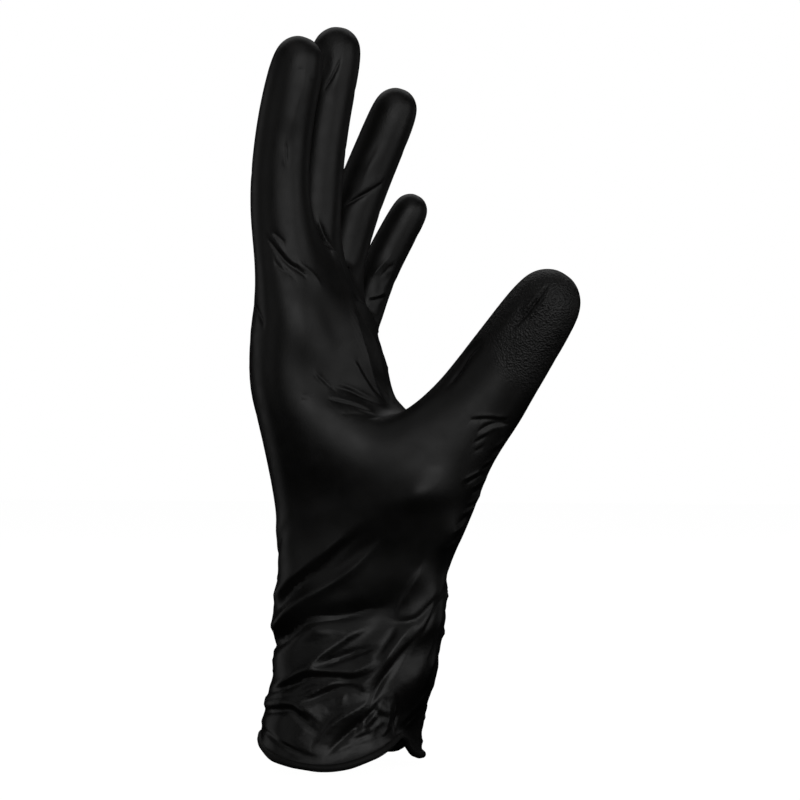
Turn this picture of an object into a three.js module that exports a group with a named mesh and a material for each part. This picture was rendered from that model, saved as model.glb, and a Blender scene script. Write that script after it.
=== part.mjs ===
// A thin disposable examination glove, kept in the shape that a left hand gives it: fingers up,
// palm towards +X, thumb side towards -Y. It is one dipped film, so it is one hollow solid: a cuff
// with a rolled bead at its mouth, the palm, a thumb and four fingers, all open to each other.
// The origin is the middle of the cuff's mouth, where the wrist goes in. Sizes are millimetres.
import * as THREE from "three";

const CUFF_LENGTH = 64; // the mouth to the crease of the wrist
const PALM_LENGTH = 96; // the wrist's crease to the middle finger's root
const CUFF_BREADTH = 70;
const CUFF_DEPTH = 50;
const WRIST_BREADTH = 56;
const WRIST_DEPTH = 54;
const PALM_BREADTH = 80; // across the knuckles
const PALM_DEPTH = 32; // back of the hand to the palm
const THENAR_DEPTH = 76; // back of the hand to the outside of the thumb's root
const WALL = 1; // the real film is 0.12 mm; a solid needs more
const BEAD_DIAMETER = 2.6; // the rolled edge of the cuff
const WEB_RISE = 2; // the webs between the fingers, above the top of the palm
const INDEX = { length: 70, thickness: 17.6, breadth: 17.5 };
const MIDDLE = { length: 75, thickness: 17.2, breadth: 17.5 };
const RING = { length: 72, thickness: 15.8, breadth: 16.5 };
const LITTLE = { length: 55.5, thickness: 12.6, breadth: 14.5 };
const THUMB = { length: 63.5, thickness: 23.5, breadth: 19.5 };

const degrees = THREE.MathUtils.degToRad;
const mix = THREE.MathUtils.lerp;

// The hand's sections, from the cuff's mouth up to where the thumb parts from the palm. Each is the
// film stretched round five bones or muscles. A round's out and radius are shares of the row's
// depth and its side is a share of the row's breadth. Up is a share of the length below or above
// the wrist, and drop, a share of the palm's length, is how far the thumb's corner hangs down.
const girths = {
  cuff: { depth: CUFF_DEPTH, breadth: CUFF_BREADTH },
  wrist: { depth: WRIST_DEPTH, breadth: WRIST_BREADTH },
  thenar: { depth: THENAR_DEPTH, breadth: PALM_BREADTH },
  palm: { depth: PALM_DEPTH, breadth: PALM_BREADTH },
};
const round = (out, side, radius) => ({ out, side, radius });
const trunkRows = [
  {
    girth: "cuff", up: -1, drop: 0,
    index: round(-0.125, -0.25, 0.325), knuckle: round(-0.14, 0, 0.33), little: round(-0.1, 0.25, 0.325),
    heel: round(0.15, 0.2, 0.325), thumb: round(0.14, -0.24, 0.325),
  },
  {
    girth: "cuff", up: -0.81, drop: 0,
    index: round(-0.11, -0.243, 0.325), knuckle: round(-0.11, 0, 0.33), little: round(-0.1, 0.236, 0.325),
    heel: round(0.166, 0.2, 0.325), thumb: round(0.18, -0.23, 0.325),
  },
  {
    girth: "cuff", up: -0.62, drop: 0,
    index: round(-0.075, -0.22, 0.31), knuckle: round(-0.1, 0, 0.31), little: round(-0.08, 0.215, 0.31),
    heel: round(0.27, 0.19, 0.31), thumb: round(0.33, -0.205, 0.31),
  },
  {
    girth: "cuff", up: -0.43, drop: 0,
    index: round(-0.1, -0.207, 0.29), knuckle: round(-0.1, 0, 0.3), little: round(-0.09, 0.207, 0.29),
    heel: round(0.315, 0.185, 0.3), thumb: round(0.39, -0.185, 0.3),
  },
  {
    girth: "wrist", up: -0.22, drop: 0,
    index: round(-0.096, -0.25, 0.26), knuckle: round(-0.093, 0, 0.27), little: round(-0.083, 0.25, 0.26),
    heel: round(0.32, 0.23, 0.27), thumb: round(0.42, -0.23, 0.27),
  },
  {
    girth: "wrist", up: 0, drop: 0.02,
    index: round(-0.07, -0.26, 0.25), knuckle: round(-0.075, 0, 0.26), little: round(-0.065, 0.268, 0.25),
    heel: round(0.352, 0.232, 0.27), thumb: round(0.426, -0.22, 0.27),
  },
  {
    girth: "wrist", up: 0.14, drop: 0.045,
    index: round(-0.083, -0.32, 0.24), knuckle: round(-0.11, 0, 0.25), little: round(-0.074, 0.34, 0.24),
    heel: round(0.37, 0.286, 0.27), thumb: round(0.533, -0.232, 0.278),
  },
  {
    girth: "thenar", up: 0.28, drop: 0.075,
    index: round(-0.083, -0.275, 0.164), knuckle: round(-0.118, -0.025, 0.171),
    little: round(-0.079, 0.288, 0.164), heel: round(0.184, 0.25, 0.19), thumb: round(0.442, -0.188, 0.197),
  },
  {
    girth: "thenar", up: 0.42, drop: 0.105,
    index: round(-0.113, -0.325, 0.164), knuckle: round(-0.145, -0.038, 0.171),
    little: round(-0.099, 0.325, 0.158), heel: round(0.079, 0.288, 0.19),
    thumb: round(0.522, -0.213, 0.184),
  },
];
// The palm's sections above the thumb, in the same terms, with the edge of the thumb's web.
const palmRows = [
  {
    index: round(-0.365, -0.363, 0.39), knuckle: round(-0.436, -0.1, 0.39),
    little: round(-0.25, 0.35, 0.344),
    heel: round(0, 0.313, 0.42), web: round(0.3, -0.25, 0.19),
  },
  {
    index: round(-0.36, -0.375, 0.384), knuckle: round(-0.42, -0.11, 0.39),
    little: round(-0.22, 0.363, 0.33),
    heel: round(-0.03, 0.338, 0.375), web: round(0.13, -0.288, 0.2),
  },
  {
    index: round(-0.313, -0.388, 0.375), knuckle: round(-0.39, -0.125, 0.375),
    little: round(-0.22, 0.375, 0.313),
    heel: round(-0.04, 0.35, 0.344), web: round(-0.06, -0.325, 0.234),
  },
];

// The four fingers, from the thumb's side. Out and side place the root's middle, as shares of the
// palm's depth and breadth, and up is a share of the palm's length. Bends is the lean towards the
// palm at the root, the two joints and the tip, and splay the lean to the little finger, degrees.
const fingers = [
  { size: INDEX, out: -0.366, side: -0.375, up: 1, bends: [-9, 5, 13, 21], splay: -3 },
  { size: MIDDLE, out: -0.28, side: -0.119, up: 1, bends: [4, 7, 13, 8], splay: 0 },
  { size: RING, out: -0.18, side: 0.131, up: 0.875, bends: [10, 21, 24, 19], splay: 2 },
  { size: LITTLE, out: -0.05, side: 0.375, up: 0.7, bends: [6, 24, 29, 27], splay: 5 },
];
// The top of the palm from the thumb's side to the little finger's, as shares of its length.
const rootHeights = [0.96, 1.0, 0.96, 0.82, 0.68];
const joints = [0, 0.42, 0.72, 1]; // where a finger bends, as shares of its length
// A finger's girth along its length, as shares of its own thickness and breadth.
const fingerGirth = [
  { along: 0, thick: 1.22, broad: 1.06 },
  { along: 0.2, thick: 1.1, broad: 1.0 },
  { along: 0.4, thick: 1.05, broad: 1.02 },
  { along: 0.6, thick: 1.0, broad: 0.97 },
  { along: 0.8, thick: 1.0, broad: 0.95 },
  { along: 1, thick: 0.95, broad: 0.92 },
];
const thumbGirth = [
  { along: 0, thick: 1.36, broad: 1.4 },
  { along: 0.2, thick: 1.22, broad: 1.2 },
  { along: 0.45, thick: 1.13, broad: 1.07 },
  { along: 0.7, thick: 1.02, broad: 1.0 },
  { along: 1, thick: 0.96, broad: 0.9 },
];
const thumbRoot = { out: 0.53, side: -0.213, up: 0.39, bends: [35, 34, 35, 34], splay: -2 };
const webHeight = 0.43; // the edge of the thumb's web, a share of the palm's length
// The cuff's mouth is wavy: its height at turns seen from above, a share of the cuff's length.
const mouthWave = [
  { turn: 37, up: -0.005 },
  { turn: 90, up: 0 },
  { turn: 150, up: 0.05 },
  { turn: 200, up: 0.13 },
  { turn: 226, up: 0.135 },
  { turn: 236, up: 0.05 },
  { turn: 251, up: 0.025 },
  { turn: 266, up: -0.01 },
  { turn: 282, up: 0.0 },
  { turn: 294, up: 0.04 },
  { turn: 307, up: 0.085 },
  { turn: 318, up: 0.14 },
  { turn: 330, up: 0.08 },
  { turn: 350, up: 0.0 },
  { turn: 397, up: -0.005 },
];
// Folds and gathers of the film, each a straight crease (height below 0) or ridge on one face of
// the hand. From and to are [across, up]: across is a share of the wrist's depth, or on the back
// and the palm of its breadth; up is as in the sections. Width and height are shares of the depth.
const faces = {
  thumb: { way: new THREE.Vector3(0, -1, 0), across: "x", size: WRIST_DEPTH },
  little: { way: new THREE.Vector3(0, 1, 0), across: "x", size: WRIST_DEPTH },
  back: { way: new THREE.Vector3(-1, 0, 0), across: "y", size: WRIST_BREADTH },
  palm: { way: new THREE.Vector3(1, 0, 0), across: "y", size: WRIST_BREADTH },
};
const folds = [
  { face: "thumb", from: [-0.36, 1.08], to: [-0.15, 0.96], width: 0.07, height: -0.018 },
  { face: "thumb", from: [-0.15, 0.96], to: [-0.03, 0.88], width: 0.06, height: -0.014 },
  { face: "thumb", from: [-0.3, 0.98], to: [-0.17, 0.9], width: 0.06, height: -0.012 },
  { face: "thumb", from: [0.0, 0.6], to: [0.3, 0.51], width: 0.07, height: -0.02 },
  { face: "thumb", from: [-0.1, 0.66], to: [0.1, 0.54], width: 0.06, height: -0.012 },
  { face: "thumb", from: [-0.26, -0.16], to: [0.02, 0.0], width: 0.09, height: 0.022 },
  { face: "thumb", from: [0.02, 0.0], to: [0.26, 0.13], width: 0.09, height: 0.022 },
  { face: "thumb", from: [-0.2, -0.23], to: [0.08, -0.08], width: 0.09, height: -0.022 },
  { face: "thumb", from: [0.08, -0.08], to: [0.32, 0.07], width: 0.09, height: -0.022 },
  { face: "thumb", from: [0.76, -0.12], to: [0.6, -0.32], width: 0.08, height: 0.03 },
  { face: "thumb", from: [0.6, -0.32], to: [0.3, -0.57], width: 0.08, height: 0.03 },
  { face: "thumb", from: [0.72, -0.27], to: [0.52, -0.47], width: 0.08, height: -0.025 },
  { face: "thumb", from: [0.52, -0.47], to: [0.3, -0.65], width: 0.08, height: -0.025 },
  { face: "thumb", from: [0.34, -0.28], to: [0.56, -0.25], width: 0.08, height: -0.03 },
  { face: "thumb", from: [-0.24, -0.43], to: [0.26, -0.39], width: 0.08, height: -0.03 },
  { face: "thumb", from: [-0.14, -0.33], to: [0.28, -0.32], width: 0.08, height: 0.02 },
  { face: "thumb", from: [-0.08, -0.52], to: [0.3, -0.46], width: 0.07, height: 0.022 },
  { face: "thumb", from: [-0.28, -0.64], to: [0.12, -0.57], width: 0.07, height: -0.026 },
  { face: "thumb", from: [-0.16, -0.7], to: [0.32, -0.64], width: 0.06, height: -0.02 },
  { face: "thumb", from: [-0.32, -0.74], to: [0.04, -0.83], width: 0.07, height: -0.026 },
  { face: "thumb", from: [0.44, -0.66], to: [0.45, -0.85], width: 0.07, height: -0.02 },
  { face: "back", from: [-0.5, 0.05], to: [0.1, 0.02], width: 0.08, height: 0.02 },
  { face: "back", from: [-0.45, -0.1], to: [0.1, -0.13], width: 0.08, height: -0.022 },
  { face: "back", from: [-0.5, -0.27], to: [0.15, -0.3], width: 0.08, height: 0.036 },
  { face: "back", from: [0.0, -0.2], to: [0.45, -0.14], width: 0.08, height: -0.02 },
  { face: "back", from: [-0.5, -0.4], to: [0.35, -0.47], width: 0.08, height: -0.02 },
  { face: "back", from: [-0.5, -0.52], to: [0.1, -0.56], width: 0.09, height: 0.014 },
  { face: "back", from: [-0.4, -0.63], to: [0.5, -0.6], width: 0.08, height: -0.022 },
  { face: "back", from: [-0.5, -0.73], to: [0.2, -0.75], width: 0.08, height: 0.012 },
  { face: "palm", from: [-0.3, -0.18], to: [0.4, -0.1], width: 0.09, height: -0.026 },
  { face: "palm", from: [-0.3, -0.28], to: [0.3, -0.36], width: 0.09, height: 0.022 },
  { face: "palm", from: [-0.4, -0.46], to: [0.45, -0.48], width: 0.08, height: -0.024 },
  { face: "palm", from: [-0.2, -0.68], to: [0.5, -0.62], width: 0.08, height: -0.02 },
  { face: "little", from: [-0.3, -0.12], to: [0.4, -0.2], width: 0.08, height: -0.024 },
  { face: "little", from: [-0.3, -0.36], to: [0.5, -0.3], width: 0.08, height: -0.022 },
  { face: "little", from: [-0.3, -0.54], to: [0.4, -0.62], width: 0.09, height: -0.026 },
];

// Counts of faces round each tube of the cage, before it is smoothed.
const PALM_FACES = 22;
const THUMB_FACES = 12;
const WEB_FACES = 3;
const TRUNK_FACES = PALM_FACES + THUMB_FACES - 2 * WEB_FACES;
const FINGER_FACES = 10;

// A value read off rows of numbers at equal or stated steps, in a straight line between them.
function between(values, share) {
  const at = THREE.MathUtils.clamp(share, 0, 1) * (values.length - 1);
  const low = Math.min(Math.floor(at), values.length - 2);
  return mix(values[low], values[low + 1], at - low);
}
function along(rows, share, column) {
  const next = Math.max(1, rows.findIndex((row) => row.along >= share));
  const [a, b] = [rows[next - 1], rows[next]];
  return mix(a[column], b[column], (share - a.along) / (b.along - a.along));
}

// The convex line round some circles: the film's section where it is stretched over them.
function stretched(circles) {
  const steps = 48;
  const points = circles.flatMap(({ x, y, r }) =>
    Array.from({ length: steps }, (_, i) => {
      const turn = (2 * Math.PI * i) / steps;
      return new THREE.Vector2(x + r * Math.cos(turn), y + r * Math.sin(turn));
    }),
  );
  points.sort((a, b) => a.x - b.x || a.y - b.y);
  const half = (list) => {
    const kept = [];
    for (const p of list) {
      while (kept.length > 1 && turnsRight(kept.at(-2), kept.at(-1), p)) kept.pop();
      kept.push(p);
    }
    return kept.slice(0, -1);
  };
  return [...half(points), ...half(points.reverse())];
}
const turnsRight = (a, b, c) => (b.x - a.x) * (c.y - a.y) - (b.y - a.y) * (c.x - a.x) <= 0;

// Points spaced evenly along a closed line between anchors, in order: number at of the ring is put
// on the line's furthest point in the direction angle, or at a share of the way to the next anchor.
function spaced(line, count, anchors) {
  const reach = (angle) => {
    const way = new THREE.Vector2(Math.cos(angle), Math.sin(angle));
    const far = line.map((p) => p.dot(way));
    return far.indexOf(Math.max(...far));
  };
  const lengths = [0];
  line.forEach((p, i) => lengths.push(lengths[i] + p.distanceTo(line[(i + 1) % line.length])));
  const whole = lengths.at(-1);
  const from = lengths[reach(anchors[0].angle)];
  const stops = anchors.map(({ at, angle }) => ({
    at: at - anchors[0].at,
    way: (lengths[reach(angle)] - from + whole) % whole,
    through: 0,
  }));
  stops.push({ at: count, way: whole });
  anchors.forEach(({ then }, i) => {
    if (!then) return;
    const way = mix(stops[i].way, stops[i + 1].way, then.share);
    stops.push({ at: then.at - anchors[0].at, way });
  });
  stops.sort((a, b) => a.at - b.at);
  return Array.from({ length: count }, (_, i) => {
    const step = (i - anchors[0].at + 2 * count) % count;
    const k = stops.findLastIndex((stop) => stop.at <= step);
    const share = (step - stops[k].at) / (stops[k + 1].at - stops[k].at);
    const target = (from + mix(stops[k].way, stops[k + 1].way, share)) % whole;
    const next = lengths.findIndex((l) => l > target);
    const part = (target - lengths[next - 1]) / (lengths[next] - lengths[next - 1]);
    return line[next - 1].clone().lerp(line[next % line.length], part);
  });
}
const circlesOf = (row, girth, names) =>
  names.map((name) => ({
    x: row[name].out * girth.depth,
    y: row[name].side * girth.breadth,
    r: row[name].radius * girth.depth,
  }));

// The cage: the coarse net of points and faces that the smoothing rounds off.
const cage = { points: [], faces: [] };
const addPoint = (x, y, z) => cage.points.push(new THREE.Vector3(x, y, z)) - 1;
function joinRings(low, high) {
  low.forEach((_, i) => {
    const next = (i + 1) % low.length;
    cage.faces.push([low[i], low[next], high[next], high[i]]);
  });
}

// Smoothing draws a ring of a few faces inwards, so its cage is made wider by this.
const widen = (faces) => 6 / (4 + 2 * Math.cos((2 * Math.PI) / faces));

// Corners of the hand as directions seen from above, and the numbers that its rings give them.
const corners = {
  indexBack: degrees(225),
  thumb: degrees(338),
  littlePalm: degrees(405),
  littleBack: degrees(495),
};
const THUMB_CORNER = 23.5;
const trunkAnchors = [
  { at: 15.5, angle: corners.indexBack, then: { at: 19, share: 0.42 } },
  { at: THUMB_CORNER, angle: corners.thumb, then: { at: 28, share: 0.53 } },
  { at: 34, angle: corners.littlePalm },
  { at: 37, angle: corners.littleBack },
];
// A height read off the wavy mouth at a turn in degrees.
function mouthHeight(turn) {
  const t = turn < mouthWave[0].turn ? turn + 360 : turn;
  const next = mouthWave.findIndex((row) => row.turn >= t);
  const [a, b] = [mouthWave[Math.max(0, next - 1)], mouthWave[next]];
  const share = next ? (t - a.turn) / (b.turn - a.turn) : 0;
  return CUFF_LENGTH * mix(a.up, b.up, share);
}
function trunkRing(row) {
  const circles = circlesOf(row, girths[row.girth], ["index", "knuckle", "little", "heel", "thumb"]);
  const line = spaced(stretched(circles), TRUNK_FACES, trunkAnchors);
  return line.map((p, i) => {
    const away = Math.abs(i - THUMB_CORNER);
    const hang = 0.5 + 0.5 * Math.cos(Math.PI * Math.min(1, Math.min(away, TRUNK_FACES - away) / 9));
    const turn = THREE.MathUtils.euclideanModulo(THREE.MathUtils.radToDeg(Math.atan2(p.y, p.x)), 360);
    const wave = Math.max(0, -row.up - 0.5) * 2 * mouthHeight(turn);
    const foot = row.up * (row.up < 0 ? CUFF_LENGTH : PALM_LENGTH);
    return addPoint(p.x, p.y, CUFF_LENGTH + foot - PALM_LENGTH * row.drop * hang + wave);
  });
}
function palmRing(circles, thumbCorner, backCorner, height) {
  const anchors = [
    { at: thumbCorner, angle: corners.thumb },
    { at: 8, angle: corners.littlePalm },
    { at: 11, angle: corners.littleBack },
    { at: backCorner, angle: corners.indexBack },
  ];
  return spaced(stretched(circles), PALM_FACES, anchors).map((p, i) => addPoint(p.x, p.y, height(p, i)));
}

// A finger's or thumb's middle line: points and directions at steps along its length.
function bentLine(start, length, bends, splay, steps = 40) {
  const at = start.clone();
  const stations = [];
  for (let i = 0; i <= steps; i++) {
    const share = i / steps;
    const segment = Math.min(joints.length - 2, joints.findLastIndex((j) => j <= share));
    const within = (share - joints[segment]) / (joints[segment + 1] - joints[segment]);
    const lean = degrees(mix(bends[segment], bends[segment + 1], within));
    const sway = Math.sin(degrees(splay)) * Math.cos(lean);
    const way = new THREE.Vector3(Math.sin(lean), sway, Math.cos(lean)).normalize();
    stations.push({ at: at.clone(), way });
    at.addScaledVector(way, length / steps);
  }
  return (share) => {
    const index = THREE.MathUtils.clamp(share, 0, 1) * steps;
    const low = Math.min(Math.floor(index), steps - 1);
    return {
      at: stations[low].at.clone().lerp(stations[low + 1].at, index - low),
      way: stations[low].way.clone().lerp(stations[low + 1].way, index - low).normalize(),
    };
  };
}

// Rings round a middle line up to a rounded tip. First is the turn of ring point 0 from palmwards.
function tube(root, line, size, girth, length, firstTurn, rings) {
  let ring = root;
  const faces = root.length;
  const tip = (size.thickness * along(girth, 1, "thick")) / 2 / length;
  const stops = [];
  for (let i = 1; i <= rings; i++) stops.push({ share: ((1 - 1.1 * tip) * i) / rings, dome: 1 });
  stops.push({ share: 1 - 0.42 * tip, dome: 0.86 }, { share: 1 - 0.06 * tip, dome: 0.46 });
  for (const { share, dome } of stops) {
    const { at, way } = line(share);
    const far = new THREE.Vector3(0, 1, 0).addScaledVector(way, -way.y).normalize();
    const out = far.clone().cross(way).normalize();
    const thick = (size.thickness * along(girth, share, "thick") * dome * widen(faces)) / 2;
    const broad = (size.breadth * along(girth, share, "broad") * dome * widen(faces)) / 2;
    const next = root.map((_, i) => {
      const turn = firstTurn + (2 * Math.PI * i) / faces;
      const p = at.clone().addScaledVector(out, thick * Math.cos(turn));
      return addPoint(...p.addScaledVector(far, broad * Math.sin(turn)));
    });
    joinRings(ring, next);
    ring = next;
  }
  const end = line(1);
  const pole = addPoint(...end.at.addScaledVector(end.way, 0.06 * tip * length));
  ring.forEach((p, i) => cage.faces.push([p, ring[(i + 1) % faces], pole]));
}

const place = ({ out, side, up }, depth) =>
  new THREE.Vector3(out * depth, side * PALM_BREADTH, CUFF_LENGTH + up * PALM_LENGTH);

function buildCage() {
  const trunk = trunkRows.map(trunkRing);
  trunk.slice(1).forEach((ring, i) => joinRings(trunk[i], ring));
  // The last ring parts into the palm's ring and the thumb's, which share the web's edge.
  const split = trunk.at(-1);
  const [farEnd, nearEnd] = [cage.points[split[0]], cage.points[split[19]]];
  const web = [0.42, 0.76].map((share) => {
    const p = farEnd.clone().lerp(nearEnd, share);
    return addPoint(p.x, p.y, CUFF_LENGTH + PALM_LENGTH * webHeight);
  });
  const palmBase = [web[1], web[0], ...split.slice(0, PALM_FACES - WEB_FACES + 1)];
  const thumbBase = [...split.slice(19), split[0], web[0], web[1]];

  const across = (p) => p.y / PALM_BREADTH + 0.5;
  const top = (p) => CUFF_LENGTH + PALM_LENGTH * between(rootHeights, across(p));
  let ring = palmBase;
  const foot = palmBase.map((p) => cage.points[p].z);
  palmRows.forEach((row, k) => {
    const circles = circlesOf(row, girths.palm, ["index", "knuckle", "little", "heel", "web"]);
    const share = (k + 1) / (palmRows.length + 1);
    const next = palmRing(circles, 0.5, mix(17.5, 19, share), (p, i) => mix(foot[i], top(p), share));
    joinRings(ring, next);
    ring = next;
  });
  const roots = fingers.map(({ size, out, side }) => ({
    x: out * PALM_DEPTH,
    y: side * PALM_BREADTH,
    r: (size.thickness * fingerGirth[0].thick) / 2,
  }));
  const last = palmRing(roots, 0.3, 19, top);
  joinRings(ring, last);

  // Between two fingers the palm's top is drawn across from palm to back by a short web.
  const webs = [[2, 17], [4, 15], [6, 13]].map(([palmar, dorsal]) =>
    [1, 2].map((i) => {
      const p = cage.points[last[palmar]].clone().lerp(cage.points[last[dorsal]], i / WEB_FACES);
      return addPoint(p.x, p.y, p.z + WEB_RISE);
    }),
  );
  fingers.forEach((finger, f) => {
    const palmar = [0, 1, 2].map((i) => last[2 * f + i]);
    const dorsal = [2, 1, 0].map((i) => last[19 - 2 * f - i]);
    const far = f < 3 ? webs[f] : [last[9], last[10]];
    const near = f > 0 ? [...webs[f - 1]].reverse() : [last[20], last[21]];
    const root = [...palmar, ...far, ...dorsal, ...near];
    const start = place(finger, PALM_DEPTH);
    const line = bentLine(start, finger.size.length, finger.bends, finger.splay);
    tube(root, line, finger.size, fingerGirth, finger.size.length, -2 * Math.PI / FINGER_FACES, 5);
  });
  const start = place(thumbRoot, THENAR_DEPTH);
  const line = bentLine(start, THUMB.length, thumbRoot.bends, thumbRoot.splay);
  tube(thumbBase, line, THUMB, thumbGirth, THUMB.length, (-4.5 * 2 * Math.PI) / THUMB_FACES, 4);
  return trunk[0];
}

// One round of Catmull-Clark smoothing of an open net of faces.
const meanOf = (list) =>
  list.reduce((sum, q) => sum.add(q), new THREE.Vector3()).divideScalar(list.length);
function smooth({ points, faces }) {
  const edges = new Map();
  const centres = faces.map((face) => meanOf(face.map((p) => points[p])));
  faces.forEach((face, f) =>
    face.forEach((a, i) => {
      const b = face[(i + 1) % face.length];
      const key = a < b ? `${a},${b}` : `${b},${a}`;
      if (!edges.has(key)) edges.set(key, { a, b, faces: [] });
      edges.get(key).faces.push(f);
    }),
  );
  const made = [];
  const add = (p) => made.push(p) - 1;
  const around = points.map(() => ({ faces: [], mids: [], border: [] }));
  faces.forEach((face, f) => face.forEach((p) => around[p].faces.push(centres[f])));
  for (const edge of edges.values()) {
    const mid = points[edge.a].clone().lerp(points[edge.b], 0.5);
    for (const p of [edge.a, edge.b]) (edge.faces.length > 1 ? around[p].mids : around[p].border).push(mid);
    edge.mid = mid;
  }
  points.forEach((p, i) => {
    const { faces: touching, mids, border } = around[i];
    if (border.length === 2) {
      add(p.clone().multiplyScalar(2).add(border[0]).add(border[1]).divideScalar(4));
      return;
    }
    const n = touching.length;
    add(meanOf(touching).addScaledVector(meanOf(mids), 2).addScaledVector(p, n - 3).divideScalar(n));
  });
  const faceAt = centres.map(add);
  for (const edge of edges.values()) {
    const both = edge.faces.map((f) => centres[f]);
    const ends = points[edge.a].clone().add(points[edge.b]);
    edge.at = add(both.length > 1 ? ends.add(both[0]).add(both[1]).divideScalar(4) : edge.mid);
  }
  const edgeOf = (a, b) => edges.get(a < b ? `${a},${b}` : `${b},${a}`).at;
  const parts = faces.flatMap((face, f) =>
    face.map((p, i) => {
      const [before, after] = [face.at(i - 1), face[(i + 1) % face.length]];
      return [p, edgeOf(p, after), faceAt[f], edgeOf(before, p)];
    }),
  );
  return { points: made, faces: parts, edgeOf };
}

// Each point's outward direction: the mean of the faces that meet there.
function normalsOf({ points, faces }) {
  const normals = points.map(() => new THREE.Vector3());
  for (const [a, b, c, d] of faces) {
    const across = points[c].clone().sub(points[a]);
    const normal = across.cross(points[d].clone().sub(points[b]));
    for (const p of [a, b, c, d]) normals[p].add(normal);
  }
  return normals.map((n) => n.normalize());
}

// Moves each point of the skin in or out by the folds near it on the face it belongs to.
function crease(skin) {
  const normals = normalsOf(skin);
  skin.points.forEach((p, i) => {
    const above = p.z - CUFF_LENGTH;
    const height = (above < 0 ? CUFF_LENGTH : PALM_LENGTH) / WRIST_DEPTH;
    const up = above / (above < 0 ? CUFF_LENGTH : PALM_LENGTH);
    let shift = 0;
    for (const fold of folds) {
      const { way, across, size } = faces[fold.face];
      const facing = normals[i].dot(way);
      if (facing <= 0) continue;
      const stretch = size / WRIST_DEPTH;
      const flat = ([a, b]) => new THREE.Vector2(a * stretch, b * height);
      const [from, to] = [flat(fold.from), flat(fold.to)];
      const here = flat([p[across] / size, up]);
      const line = to.clone().sub(from);
      const share = THREE.MathUtils.clamp(here.clone().sub(from).dot(line) / line.lengthSq(), 0, 1);
      const away = here.distanceTo(from.addScaledVector(line, share)) / fold.width;
      shift += fold.height * Math.min(1, 1.6 * facing) * Math.exp(-1.6 * away * away);
    }
    p.addScaledVector(normals[i], shift * WRIST_DEPTH);
  });
}

// The film's solid: the outer skin, the inner skin a wall further in, and the bead round the mouth.
function filmSolid(skin, rim) {
  const normals = normalsOf(skin);
  const inwards = skin.points.map((p, i) => p.clone().addScaledVector(normals[i], -WALL));
  const positions = [...skin.points, ...inwards];
  const inner = skin.points.length;
  const triangles = [];
  const quad = (a, b, c, d) => triangles.push(a, b, c, a, c, d);
  for (const face of skin.faces) {
    const [p, q, r, s] = face.map((i) => positions[i]);
    const [a, b, c, d] = p.distanceTo(r) < q.distanceTo(s) ? face : [...face.slice(1), face[0]];
    quad(a, b, c, d);
    triangles.push(inner + c, inner + b, inner + a, inner + d, inner + c, inner + a);
  }
  const BEAD_POINTS = 4;
  const radius = BEAD_DIAMETER / 2;
  const strips = rim.map((p) => {
    const outward = normals[p].clone().setZ(0).normalize();
    const middle = positions[p].clone().lerp(positions[inner + p], 0.5);
    middle.z -= radius * 0.8;
    const strip = [p];
    for (let i = 0; i < BEAD_POINTS; i++) {
      const turn = mix(degrees(20), degrees(-200), i / (BEAD_POINTS - 1));
      const q = middle.clone().addScaledVector(outward, radius * Math.cos(turn));
      q.z += radius * Math.sin(turn);
      strip.push(positions.push(q) - 1);
    }
    return [...strip, inner + p];
  });
  strips.forEach((strip, i) => {
    const next = strips[(i + 1) % strips.length];
    for (let k = 0; k + 1 < strip.length; k++) quad(strip[k + 1], next[k + 1], next[k], strip[k]);
  });
  const geometry = new THREE.BufferGeometry();
  const numbers = positions.flatMap((p) => p.toArray());
  geometry.setAttribute("position", new THREE.Float32BufferAttribute(numbers, 3));
  geometry.setIndex(triangles);
  geometry.computeVertexNormals();
  return geometry;
}

const mouth = buildCage();
const skin = smooth(cage);
crease(skin);
const rim = mouth.flatMap((p, i) => [p, skin.edgeOf(p, mouth[(i + 1) % mouth.length])]);

const nitrile = new THREE.MeshStandardMaterial({ color: 0x121211, roughness: 0.5, metalness: 0 });
const glove = new THREE.Mesh(filmSolid(skin, rim), nitrile);
glove.name = "glove_film";

const part = new THREE.Group();
part.add(glove);
export default part;
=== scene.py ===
"""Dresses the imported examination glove: a fine satin nitrile film with its folds, and the studio.

The CAD solid gives the form. Its mesh is copied, smoothed and refined here, and the folds and the
crumple that are too fine for the solid are pressed into it. Lengths are metres, in the frame of
the CAD: +Z to the fingertips, +X the way the palm faces, -Y the thumb's side.
"""

import math

import bmesh
import bpy
import numpy as np
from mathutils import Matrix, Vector, noise
from mathutils.bvhtree import BVHTree


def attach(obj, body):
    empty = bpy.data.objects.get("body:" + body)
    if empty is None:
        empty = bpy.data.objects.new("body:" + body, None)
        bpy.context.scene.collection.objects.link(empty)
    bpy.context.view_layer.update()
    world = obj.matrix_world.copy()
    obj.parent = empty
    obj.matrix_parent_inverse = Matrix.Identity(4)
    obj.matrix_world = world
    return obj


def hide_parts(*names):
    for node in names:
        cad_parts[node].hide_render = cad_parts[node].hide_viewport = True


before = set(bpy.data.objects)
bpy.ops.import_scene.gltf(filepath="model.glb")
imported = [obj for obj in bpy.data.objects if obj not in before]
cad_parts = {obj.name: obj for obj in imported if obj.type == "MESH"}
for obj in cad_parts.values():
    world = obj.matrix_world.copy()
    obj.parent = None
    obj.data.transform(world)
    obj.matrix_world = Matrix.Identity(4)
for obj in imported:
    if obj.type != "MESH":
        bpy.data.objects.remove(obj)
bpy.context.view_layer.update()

MM = 0.001
NODE = "glove_film"
FILM_THICKNESS = 0.7 * MM  # from the outer skin in to the inner one, where it shows at the mouth
MERGE = 0.01 * MM  # points closer than this are one
RIM_ANGLE = math.radians(42)  # the film's outside ends where its faces turn more than this
JOIN_FACE_ANGLE = math.radians(70)  # two triangles make a quad up to this fold,
JOIN_SHAPE_ANGLE = math.radians(80)  # and up to this skew
IRON_ROUNDS = 6
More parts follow.
